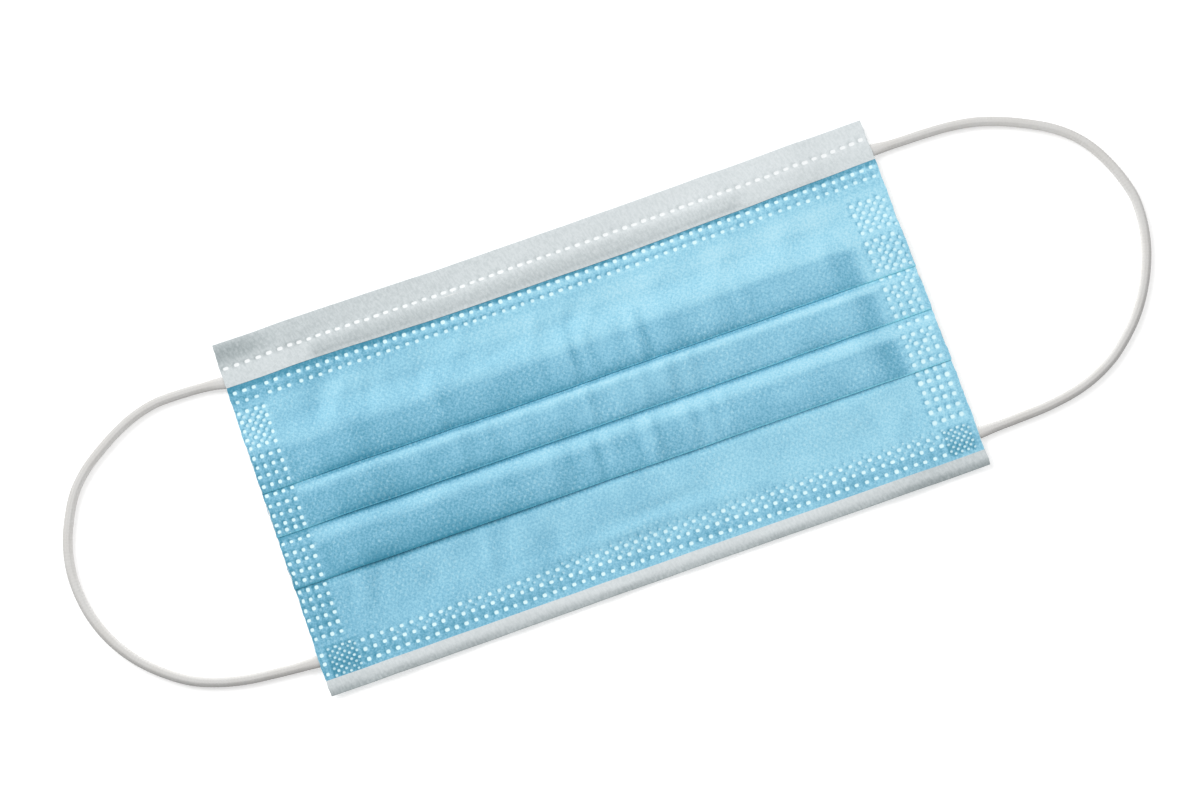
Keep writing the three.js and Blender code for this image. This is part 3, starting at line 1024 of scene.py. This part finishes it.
def inner_ply():
    """One sheet: the nose band, the back of the mask and the chin band, end to end."""
    back_start = NOSE_WALK.length
    back_end = back_start + LAMINATE.length - 2 * EDGE_INSET
    margin = EDGE_INSET + ROW_MARGIN
    back_rows = [
        back_start + v - EDGE_INSET for v in LAMINATE.rows if margin < v < LAMINATE.length - margin
    ]
    rows = [*NOSE_WALK.rows, *back_rows, *(back_end + v for v in CHIN_WALK.rows)]

    band_dots = uneven(BAND_DOTS)
    band_dots[:, 1] = [band_distance(x, t) for x, t in band_dots[:, :2]]
    band_dots[:, 2:4] /= 2
    back_dots = on_cloth(uneven(FRONT_DOTS + BAND_DOTS), False)
    back_dots[:, 1] += back_start - EDGE_INSET
    dots = np.concatenate([band_dots, back_dots])
    points, faces = cloth_points(rows, dots, BACK_COLUMNS, BACK_RIM)
    x, v, weld, rim = points.T

    on_nose = v <= back_start
    on_chin = v > back_end
    on_back = ~(on_nose | on_chin)
    spot = np.zeros((3, len(x)))
    spot[:, on_nose] = NOSE_WALK.follow(x[on_nose], v[on_nose])
    spot[:, on_chin] = CHIN_WALK.follow(x[on_chin], v[on_chin] - back_end)
    spot[:, on_back] = LAMINATE.follow(x[on_back], v[on_back] - back_start + EDGE_INSET)
    middle = np.where(on_back, -PITCH, 0)
    stray = ragged_edge(x, v, 3)
    outside = place(x, spot, middle - PLY / 2 + DIMPLE * weld, stray)
    inside = place(x, spot, middle + PLY / 2, stray)
    grey = on_nose * band_grey(x, spot[0]) + on_chin * chin_grey(x, spot[0])
    # painted shade and highlight on the bands from their lean to the light's side, and on the dots' rims
    grey = grey - ~on_back * BAND_SLOPE_TONE * facing(outside, faces) * (1 - weld)
    attributes = {"weld": weld, "grey": grey + BACK_RIM_GREY * rim, "cloth": flat_cloth(x, v)}
    return closed_wall("inner_cloth", outside, inside, faces, attributes)


def tube(name, rings, attributes):
    """A closed mesh through rings of points, with a fan over each end."""
    count, sides, _ = rings.shape
    points = np.array([*rings.reshape(-1, 3), rings[0].mean(0), rings[-1].mean(0)])
    faces = []
    for i in range(count - 1):
        for j in range(sides):
            a, b = i * sides + j, i * sides + (j + 1) % sides
            faces.append((a, b, b + sides, a + sides))
    first, last = count * sides, count * sides + 1
    for j in range(sides):
        k = (j + 1) % sides
        faces.append((first, k, j))
        faces.append((last, (count - 1) * sides + j, (count - 1) * sides + k))
    closed = {}
    for key, values in attributes.items():
        flat = values.reshape(count * sides, *values.shape[2:])
        closed[key] = np.concatenate([flat, values[0, :1], values[-1, :1]])
    return add_piece(name, points, faces, closed, SHARP_TUBE)


WIRE_STATIONS = 80
WIRE_SIDES = 16


def nose_wire():
    """The coated wire in its channel: a flat strip with round edges."""
    xs = np.linspace(WIRE_LOW.x, WIRE_HIGH.x, WIRE_STATIONS)
    radius = WIRE_THICK / 2
    base = HALF + PITCH + PLY / 2 + PLY_GAP / 2
    around = math.pi / 2 - (np.arange(WIRE_SIDES) + 0.5) * 2 * math.pi / WIRE_SIDES
    flat = (WIRE_WIDTH / 2 - radius) * np.sign(np.cos(around))
    t = WIRE_NEAR + WIRE_WIDTH / 2 + flat + radius * np.cos(around)
    z = base + radius + radius * np.sin(around)
    rings = []
    for x in xs:
        column = np.full(len(t), x)
        height = z + level(column, np.full(len(t), WIRE_NEAR + WIRE_WIDTH / 2))
        rings.append(np.stack([column, across(t) - bow(column, t), height], axis=1))
    return tube("wire_strip", np.array(rings), {})


# ---- Ear loops: round knitted elastic ----

# The mesh's step along the cord and its sides, the knit's ribs round the cord, the length of a
# stitch and how much it leans, how high the knit stands, the shares of that in a stitch, at
# least, and in the groove between two ribs
KNIT_STEP = 0.2
KNIT_SIDES = 40
WALES = 10
COURSE = 0.85
STITCH_LEAN = 0.55
KNIT_RELIEF = 0.11
STITCH_SHARE = 0.55
STITCH_LEAST = 0.4
GROOVE_SHARE = 0.9
# The welded ends: how flat and how wide, how much of the knit is pressed out of them, where in
# x they begin and where the cord is round again, and the press marks on them
WELD_FLAT = 0.4
WELD_WIDEN = 1.35
WELD_SMOOTH = 0.75
WELD_INNER = 85
WELD_OUTER = 94
LOOP_STAMP = 0.10
LOOP_STAMP_PITCH = 1.1
# Where (x, y) the light comes from that the loops' painted shade and highlight are made for, and
# how strong they are as (y, share)
LOOP_LIGHT = np.array([0, 150])
LOOP_SHADE = [(-20, 1), (35, 0.6)]
ROUTE_STEPS = 24


def smooth_route(route):
    """A centripetal Catmull-Rom curve through the route, as points a fine step apart."""
    points = np.array(route)
    points = np.concatenate([[2 * points[0] - points[1]], points, [2 * points[-1] - points[-2]]])
    curve = []
    for p0, p1, p2, p3 in zip(points, points[1:], points[2:], points[3:]):
        d0, d1, d2 = (np.sqrt(np.linalg.norm(b - a)) for a, b in ((p0, p1), (p1, p2), (p2, p3)))
        m1 = ((p1 - p0) / d0 - (p2 - p0) / (d0 + d1) + (p2 - p1) / d1) * d1
        m2 = ((p2 - p1) / d1 - (p3 - p1) / (d1 + d2) + (p3 - p2) / d2) * d1
        for u in np.linspace(0, 1, ROUTE_STEPS, endpoint=False):
            curve.append(
                (2 * u**3 - 3 * u**2 + 1) * p1 + (u**3 - 2 * u**2 + u) * m1
                + (3 * u**2 - 2 * u**3) * p2 + (u**3 - u**2) * m2
            )
    curve.append(points[-2])
    curve = np.array(curve)
    run_length = np.concatenate([[0], np.cumsum(np.linalg.norm(np.diff(curve, axis=0), axis=1))])
    count = int(run_length[-1] / KNIT_STEP) + 1
    along = np.linspace(0, run_length[-1], count)
    return along, np.stack([np.interp(along, run_length, curve[:, i]) for i in range(2)], axis=1)


def ear_loop(name, node, route):
    """A cord along its route, with the knit on it and its ends pressed flat."""
    along, path = smooth_route([(x / MM, y / MM) for x, y in route])
    tangent = np.gradient(path, axis=0)
    tangent /= np.linalg.norm(tangent, axis=1)[:, None]
    across_cord = np.stack([-tangent[:, 1], tangent[:, 0]], axis=1)
    x, y = path.T
    press = 1 - ramp(np.abs(x), WELD_INNER, WELD_OUTER)
    under = level(np.clip(x, -SIDE, SIDE), HEIGHT / 2 - y) - PLY_GAP
    height = (1 - press) * CORD / 2 + press * (under - CORD * WELD_FLAT / 2)
    angle = 2 * np.pi * np.arange(KNIT_SIDES) / KNIT_SIDES
    wale = np.abs(((angle * WALES / (2 * np.pi)) % 1) * 2 - 1)[None, :]
    stitch = np.cos(2 * np.pi * (along[:, None] / COURSE + STITCH_LEAN * wale))
    fullness = STITCH_LEAST + (1 - STITCH_LEAST) * np.sin(np.pi * wale)
    relief = KNIT_RELIEF * (STITCH_SHARE * stitch * fullness - GROOVE_SHARE * (1 - wale) ** 3)
    radius = CORD / 2 + relief * (1 - WELD_SMOOTH * press[:, None])
    side = radius * np.cos(angle) * (1 + press * (WELD_WIDEN - 1))[:, None]
    ring_x = x[:, None] + across_cord[:, :1] * side
    ring_y = y[:, None] + across_cord[:, 1:] * side
    ring_z = height[:, None] + radius * np.sin(angle) * (1 - press * (1 - WELD_FLAT))[:, None]
    welded = 1 - ramp(np.abs(ring_x), WELD_INNER - 0.5, WELD_INNER + 0.5)
    lean = math.pi / LOOP_STAMP_PITCH
    hatch = np.cos(lean * (ring_x + ring_y)) * np.cos(lean * (ring_x - ring_y))
    ring_z = ring_z + LOOP_STAMP * welded * (np.sin(angle) < 0) * np.maximum(0, hatch)
    rings = np.stack([ring_x, ring_y, np.maximum(ring_z, 0)], axis=2)
    cloth = np.stack(np.broadcast_arrays(along[:, None], angle * CORD / 2, 0 * ring_x), axis=2)
    # painted shade on the side of the cord turned from that light, painted highlight on the side turned
    # to it
    from_light = path - LOOP_LIGHT
    from_light /= np.linalg.norm(from_light, axis=1)[:, None]
    away = (across_cord * from_light).sum(1)[:, None] * np.cos(angle)[None, :]
    shade = away * np.abs(away) * read(LOOP_SHADE, y)[:, None]
    loop = tube(name, rings, {"cloth": cloth, "shade": shade})
    finish(loop, ELASTIC, node)


# ---- Materials ----


def linear(red, green, blue):
    """An sRGB colour, 0 to 255, as the linear one that a shader takes."""
    def channel(value):
        value /= 255
        return value / 12.92 if value <= 0.04045 else ((value + 0.055) / 1.055) ** 2.4

    return (channel(red), channel(green), channel(blue), 1)


class Shader:
    """A material's nodes, made in short calls."""

    def __init__(self, name, roughness, sheen=0, specular=0.5):
        self.material = bpy.data.materials.new(name)
        self.material.use_nodes = True
        self.tree = self.material.node_tree
        self.surface = self.tree.nodes["Principled BSDF"]
        self.surface.inputs["Roughness"].default_value = roughness
        self.surface.inputs["Sheen Weight"].default_value = sheen
        self.surface.inputs["Sheen Roughness"].default_value = 0.5
        self.surface.inputs["Specular IOR Level"].default_value = specular

    def put(self, socket, value):
        if isinstance(value, bpy.types.NodeSocket):
            self.tree.links.new(value, socket)
        else:
            socket.default_value = value

    def add(self, kind, inputs, **settings):
        """The outputs of a new node, with its settings and what goes into its sockets."""
        node = self.tree.nodes.new(kind)
        for name, value in settings.items():
            setattr(node, name, value)
        for socket, value in inputs.items():
            self.put(node.inputs[socket], value)
        return node.outputs

    def attribute(self, name, output):
        return self.add("ShaderNodeAttribute", {}, attribute_name=name)[output]

    def place(self):
        return self.add("ShaderNodeTexCoord", {})["Object"]

    def math(self, operation, a, b=0):
        return self.add("ShaderNodeMath", {0: a, 1: b}, operation=operation)[0]

    def vector(self, operation, a, b):
        return self.add("ShaderNodeVectorMath", {0: a, 1: b}, operation=operation)[0]

    def noise(self, vector, scale, detail=3, roughness=0.55, colour=False):
        inputs = {"Vector": vector, "Scale": scale, "Detail": detail, "Roughness": roughness}
        return self.add("ShaderNodeTexNoise", inputs)["Color" if colour else "Fac"]

    def strands(self, vector, lean, width, length):
        """Noise stretched into strands that lean from upright, in degrees."""
        turned = (0, 0, math.radians(lean))
        inputs = {"Vector": vector, "Rotation": turned, "Scale": (width, length, 1)}
        stretched = self.add("ShaderNodeMapping", inputs, vector_type="TEXTURE")["Vector"]
        return self.noise(stretched, 1, 2, 0.5)

    def spread(self, value, low, high, to_low=0, to_high=1):
        """A soft step from to_low to to_high as the value goes from low to high."""
        inputs = {"Value": value, "From Min": low, "From Max": high, "To Min": to_low, "To Max": to_high}
        return self.add("ShaderNodeMapRange", inputs, interpolation_type="SMOOTHSTEP")["Result"]

    def parts(self, vector):
        return self.add("ShaderNodeSeparateXYZ", {0: vector})

    def scale_of(self, value, stops):
        """A colour from a scale of them: stops pairs each value with its colour."""
        low, high = stops[0][0], stops[-1][0]
        node = self.tree.nodes.new("ShaderNodeValToRGB")
        elements = node.color_ramp.elements
        for index, (at, colour) in enumerate(stops):
            where = (at - low) / (high - low)
            element = elements[index] if index < 2 else elements.new(where)
            element.position = where
            element.color = linear(*colour)
        share = self.math("DIVIDE", self.math("SUBTRACT", value, low), high - low)
        self.put(node.inputs["Fac"], share)
        return node.outputs["Color"]

    def mix(self, share, a, b):
        return self.add("ShaderNodeMix", {"Factor": share, "A": a, "B": b}, data_type="RGBA")["Result"]

    def mottled(self, grain, dark, light):
        return self.mix(self.spread(grain, 0.35, 0.65), linear(*dark), linear(*light))

    def finished(self, colour, height, depth, strength):
        """The material, with its colour and its relief, depth in metres."""
        self.put(self.surface.inputs["Base Color"], colour)
        inputs = {"Strength": strength, "Distance": depth, "Height": height}
        relief = self.add("ShaderNodeBump", inputs)["Normal"]
        self.put(self.surface.inputs["Normal"], relief)
        return self.material


# How far apart the bond points are along x and down the mask, and how far they stray
BOND_X = 1.695
BOND_V = 2.5
BOND_STRAY = 1.3


def spunbond(shader, cloth, lean):
    """Bond points in a staggered grid, and the fibres between them, both 0 to 1."""
    stray = (BOND_STRAY, BOND_STRAY, 0)
    shake = shader.vector("MULTIPLY", shader.noise(cloth, 0.7, 2, colour=True), stray)
    x, v, _ = shader.parts(shader.vector("ADD", cloth, shake))
    wave_x = shader.math("COSINE", shader.math("MULTIPLY", x, 2 * math.pi / BOND_X))
    wave_v = shader.math("COSINE", shader.math("MULTIPLY", v, 2 * math.pi / BOND_V))
    points = shader.spread(shader.math("MULTIPLY", wave_x, wave_v), 0.05, 0.75)
    uneven_points = shader.spread(shader.noise(cloth, 1.3, 2), 0.40, 0.56, 0.1, 1)
    patches = shader.spread(shader.noise(cloth, 0.11, 4), 0.36, 0.62, 0.35, 1)
    bonds = shader.math("MULTIPLY", points, shader.math("MULTIPLY", uneven_points, patches))
    first = shader.strands(cloth, lean, 0.42, 3.4)
    second = shader.strands(cloth, lean - 74, 0.38, 2.6)
    tangle = shader.noise(cloth, 1.8, 2, 0.6)
    crossed = shader.math("MULTIPLY", shader.math("ADD", first, second), 0.2)
    return bonds, shader.math("ADD", crossed, shader.math("MULTIPLY", tangle, 0.6))


def welded_cloth(shader, base, fibres, bonds, shine, bond_colour, weld_edge, weld_colour):
    """The finished material of a spunbond: its bond points, its weld dots and its relief."""
    base = shader.mix(shader.math("MULTIPLY", bonds, shine), base, linear(*bond_colour))
    weld = shader.spread(shader.attribute("weld", "Fac"), 0.05, weld_edge)
    colour = shader.mix(weld, base, linear(*weld_colour))
    fluff = shader.math("MULTIPLY", fibres, 0.9)
    height = shader.math("SUBTRACT", fluff, shader.math("MULTIPLY", bonds, 0.3))
    return shader.finished(colour, height, 0.00010, 0.8)


def blue_spunbond():
    shader = Shader("blue_spunbond", roughness=0.62, sheen=0.06, specular=0.3)
    cloth = shader.attribute("cloth", "Vector")
    bonds, fibres = spunbond(shader, cloth, 24)
    clouds = shader.spread(shader.noise(cloth, 0.07, 4, 0.6), 0.3, 0.7, -0.22, 0.22)
    mottle = shader.spread(fibres, 0.39, 0.61, 0.42, -0.42)
    # tone holds the layers' depth and painted shade and light
    tone = shader.math("ADD", shader.attribute("tone", "Fac"), shader.math("ADD", clouds, mottle))
    base = shader.scale_of(tone, [
        (-0.7, (177, 224, 240)), (0, (154, 211, 232)), (1, (125, 186, 212)),
        (1.6, (100, 167, 193)), (2.3, (76, 149, 176)), (3, (58, 137, 165)),
    ])
    # painted light: light that has bounced about in a crease is a deeper blue
    deeper = shader.vector("MULTIPLY", base, (0.85, 1.2, 1.15))
    base = shader.mix(shader.attribute("crease", "Fac"), base, deeper)
    shine = shader.spread(tone, 0, 2, 0.45, 0.22)
    return welded_cloth(shader, base, fibres, bonds, shine, (188, 230, 243), 0.85, (221, 249, 253))


def white_spunbond():
    shader = Shader("white_spunbond", roughness=0.66, sheen=0.05, specular=0.3)
    cloth = shader.attribute("cloth", "Vector")
    bonds, fibres = spunbond(shader, cloth, 17)
    streaks = shader.strands(cloth, 17, 0.6, 1.6)
    mottle = shader.spread(shader.math("ADD", fibres, streaks), 0.8, 1.2, 0.2, -0.2)
    # grey holds painted shade as well as other greys
    base = shader.scale_of(shader.math("ADD", shader.attribute("grey", "Fac"), mottle), [
        (-0.5, (218, 224, 226)), (0, (206, 213, 215)), (1, (171, 180, 182)), (1.6, (146, 156, 158)),
    ])
    return welded_cloth(shader, base, fibres, bonds, 0.2, (222, 227, 228), 0.75, (240, 243, 244))


def melt_blown():
    shader = Shader("filter_melt_blown", roughness=0.8)
    fibres = shader.noise(shader.attribute("cloth", "Vector"), 2.5, 6, 0.75)
    colour = shader.mottled(fibres, (222, 227, 228), (240, 243, 243))
    return shader.finished(colour, fibres, 0.00004, 0.6)


def wire_coating():
    shader = Shader("wire_coating", roughness=0.45)
    grain = shader.noise(shader.place(), 900, 3)
    colour = shader.mottled(grain, (208, 212, 212), (226, 229, 228))
    return shader.finished(colour, grain, 0.00003, 0.4)


def knitted_elastic():
    shader = Shader("knitted_elastic", roughness=0.72, sheen=0.12, specular=0.3)
    cloth = shader.attribute("cloth", "Vector")
    yarn = shader.noise(shader.vector("MULTIPLY", cloth, (2.2, 5.5, 1)), 1.6, 5, 0.7)
    clouds = shader.spread(shader.noise(cloth, 0.12, 2), 0.35, 0.65, 0, 0.35)
    base = shader.mottled(yarn, (213, 212, 210), (230, 229, 227))
    base = shader.mix(clouds, base, linear(217, 214, 209))
    # painted shade and highlight: the side turned away from the light is a deeper grey, the side
    # turned to it lighter
    side = shader.spread(shader.attribute("shade", "Fac"), -1, 1, 1.27, 0.53)
    return shader.finished(shader.vector("MULTIPLY", base, side), yarn, 0.00008, 0.6)


# The floor glows like a light table's, so shadows on it are faint
FLOOR_GLOW = 0.28
FLOOR_HALF = 4.0
FLOOR_DROP = 0.0002


def floor_paint():
    shader = Shader("floor_paint", roughness=0.9, specular=0.1)
    grain = shader.noise(shader.place(), 3, 2)
    colour = shader.mix(shader.spread(grain, 0.3, 0.7), linear(246, 246, 246), linear(248, 248, 248))
    shader.put(shader.surface.inputs["Base Color"], colour)
    shader.put(shader.surface.inputs["Emission Color"], (1, 1, 1, 1))
    shader.put(shader.surface.inputs["Emission Strength"], FLOOR_GLOW)
    return shader.material


# ---- The scene ----


def finish(piece, material, node):
    """Gives a piece its material and its body, and hides the CAD part that it stands for."""
    piece.data.materials.append(material)
    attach(piece, "root")
    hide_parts(node)
    return piece


def add_camera():
    data = bpy.data.cameras.new("camera")
    data.lens = CAMERA_LENS
    data.sensor_width = SENSOR
    camera = add_object("camera", data)
    back = Vector((
        math.sin(CAMERA_AZIMUTH) * math.cos(CAMERA_ELEVATION),
        -math.cos(CAMERA_AZIMUTH) * math.cos(CAMERA_ELEVATION),
        math.sin(CAMERA_ELEVATION),
    ))
    right = CAMERA_UP.cross(back).normalized()
    up = back.cross(right)
    turned = Matrix((right, up, back)).transposed().to_4x4()
    camera.matrix_world = Matrix.Translation(CAMERA_TARGET + back * CAMERA_DISTANCE) @ turned
    bpy.context.scene.camera = camera


# How strong the plain white sky is
SKY = 0.56
# Soft boxes: name, place, size, watts
LAMPS = [
    ("key", (-0.60, 0.76, 1.10), 1, 12.4),
    ("side_fill", (0.95, 0.05, 0.80), 0.7, 2.6),
]


def add_light():
    world = bpy.data.worlds.new("studio")
    world.use_nodes = True
    sky = world.node_tree.nodes["Background"]
    sky.inputs["Color"].default_value = (1, 1, 1, 1)
    sky.inputs["Strength"].default_value = SKY
    bpy.context.scene.world = world
    for name, where, size, power in LAMPS:
        lamp = bpy.data.lights.new(name, "AREA")
        lamp.shape = "SQUARE"
        lamp.size = size
        lamp.energy = power
        box = add_object(name, lamp)
        box.location = where
        box.rotation_mode = "QUATERNION"
        box.rotation_quaternion = Vector(where).to_track_quat("Z", "Y")
        box.visible_camera = False


def add_floor():
    mesh = bpy.data.meshes.new("floor")
    corners = [(-1, -1), (1, -1), (1, 1), (-1, 1)]
    points = [(x * FLOOR_HALF, y * FLOOR_HALF, -FLOOR_DROP) for x, y in corners]
    mesh.from_pydata(points, [], [(0, 1, 2, 3)])
    mesh.materials.append(floor_paint())
    add_object("floor", mesh)


bpy.context.scene.view_settings.view_transform = "Standard"
add_camera()
ELASTIC = knitted_elastic()
ear_loop("loop_left", "ear_loop_left", LEFT_ROUTE)
ear_loop("loop_right", "ear_loop_right", RIGHT_ROUTE)

outer = finish(outer_ply(), blue_spunbond(), "outer_ply")
middle = finish(filter_ply(), melt_blown(), "filter_ply")
inner = finish(inner_ply(), white_spunbond(), "inner_ply")
finish(nose_wire(), wire_coating(), "nose_wire")

add_floor()
add_light()
